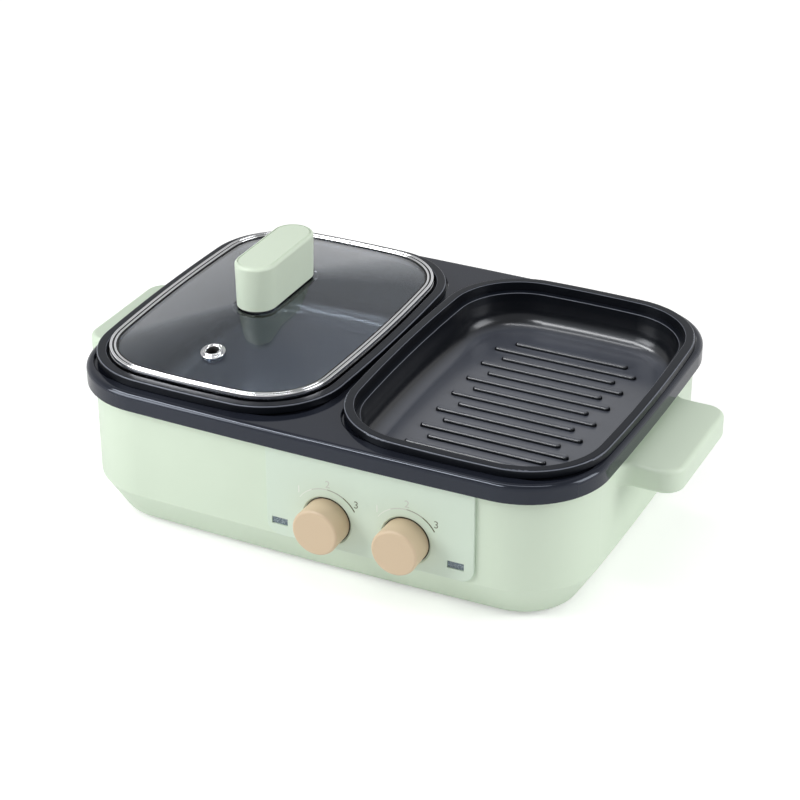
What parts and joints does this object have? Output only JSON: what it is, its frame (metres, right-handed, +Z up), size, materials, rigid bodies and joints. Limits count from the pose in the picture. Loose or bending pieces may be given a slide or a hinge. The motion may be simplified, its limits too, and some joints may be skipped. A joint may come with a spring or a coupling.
{
  "type": "twin electric table cooker",
  "caption": "Electric table cooker with a deep hot pot under a lift-off glass lid beside a ribbed grill pan, in a moulded housing with two turning heat controls.",
  "frame": {"origin": "on the table plane, under the middle of the overall box; the housing's own middle lies 6.1 mm behind it because the knobs stand out in front", "axes": "+X to the user's right, -Y towards the user, +Z up"},
  "size_m": [0.419, 0.2778, 0.1571],
  "materials": {
    "mint_plastic": "satin moulded plastic",
    "panel_plastic": "satin moulded plastic",
    "dark_plastic": "glossy moulded plastic",
    "knob_plastic": "matte moulded plastic",
    "grey_plastic": "matte moulded plastic",
    "black_plastic": "matte moulded plastic",
    "non_stick": "dark non-stick coating on cast aluminium",
    "plate_aluminium": "as cast and machined",
    "sheet_steel": "zinc plated sheet",
    "screw_steel": "plated steel",
    "rim_steel": "polished stainless steel",
    "tube_steel": "heat tinted stainless steel",
    "brass_pins": "bright brass",
    "rubber_black": "matte rubber",
    "silicone": "matte silicone",
    "lid_glass": "clear tempered glass",
    "lens_clear": "smoky clear plastic",
    "lamp_glass": "clear glass"
  },
  "bodies": {
    "base": {"base_tub": "mint_plastic", "bezel_screws": "screw_steel", "bottom_cover": "grey_plastic", "bottom_screws": "screw_steel", "bracket_screws": "screw_steel", "control_bracket": "sheet_steel", "control_panel": "panel_plastic", "inlet_pins": "brass_pins", "inlet_screws": "screw_steel", "left_heat_shield": "sheet_steel", "left_heating_plate": "plate_aluminium", "left_heating_tube": "tube_steel", "left_indicator_lamp": "lamp_glass", "left_indicator_lens": "lens_clear", "left_plate_posts": "screw_steel", "left_side_handle": "mint_plastic", "left_switch_body": "black_plastic", "left_thermal_cutout": "plate_aluminium", "power_inlet": "black_plastic", "right_heat_shield": "sheet_steel", "right_heating_plate": "plate_aluminium", "right_heating_tube": "tube_steel", "right_indicator_lamp": "lamp_glass", "right_indicator_lens": "lens_clear", "right_plate_posts": "screw_steel", "right_side_handle": "mint_plastic", "right_switch_body": "black_plastic", "right_thermal_cutout": "plate_aluminium", "rubber_feet": "rubber_black", "side_handle_screws": "screw_steel", "switch_nuts": "screw_steel", "terminal_block": "black_plastic", "terminal_screws": "brass_pins", "top_bezel": "dark_plastic"},
    "pot": {"hot_pot": "non_stick"},
    "lid": {"lid_glass": "lid_glass", "lid_handle": "mint_plastic", "lid_handle_cap": "mint_plastic", "lid_handle_gasket": "silicone", "lid_handle_screws": "screw_steel", "lid_handle_washers": "screw_steel", "lid_rim": "rim_steel", "lid_vent_grommet": "rim_steel"},
    "pan": {"grill_pan": "non_stick"},
    "left_dial": {"left_knob": "knob_plastic", "left_switch_shaft": "screw_steel"},
    "right_dial": {"right_knob": "knob_plastic", "right_switch_shaft": "screw_steel"}
  },
  "joints": [
    {"name": "pot_lift", "type": "slide", "parent": "base", "child": "pot", "axis": [0, 0, 1], "range_m": [0, 0.12]},
    {"name": "lid_lift", "type": "slide", "parent": "pot", "child": "lid", "axis": [0, 0, 1], "range_m": [0, 0.1]},
    {"name": "pan_lift", "type": "slide", "parent": "base", "child": "pan", "axis": [0, 0, 1], "range_m": [0, 0.09]},
    {"name": "left_knob_turn", "type": "hinge", "parent": "base", "child": "left_dial", "pos_m": [0.0147, -0.12391, 0.0475], "axis": [0, 1, 0], "range_deg": [0, 110]},
    {"name": "right_knob_turn", "type": "hinge", "parent": "base", "child": "right_dial", "pos_m": [0.0677, -0.12391, 0.0475], "axis": [0, 1, 0], "range_deg": [0, 110]}
  ]
}
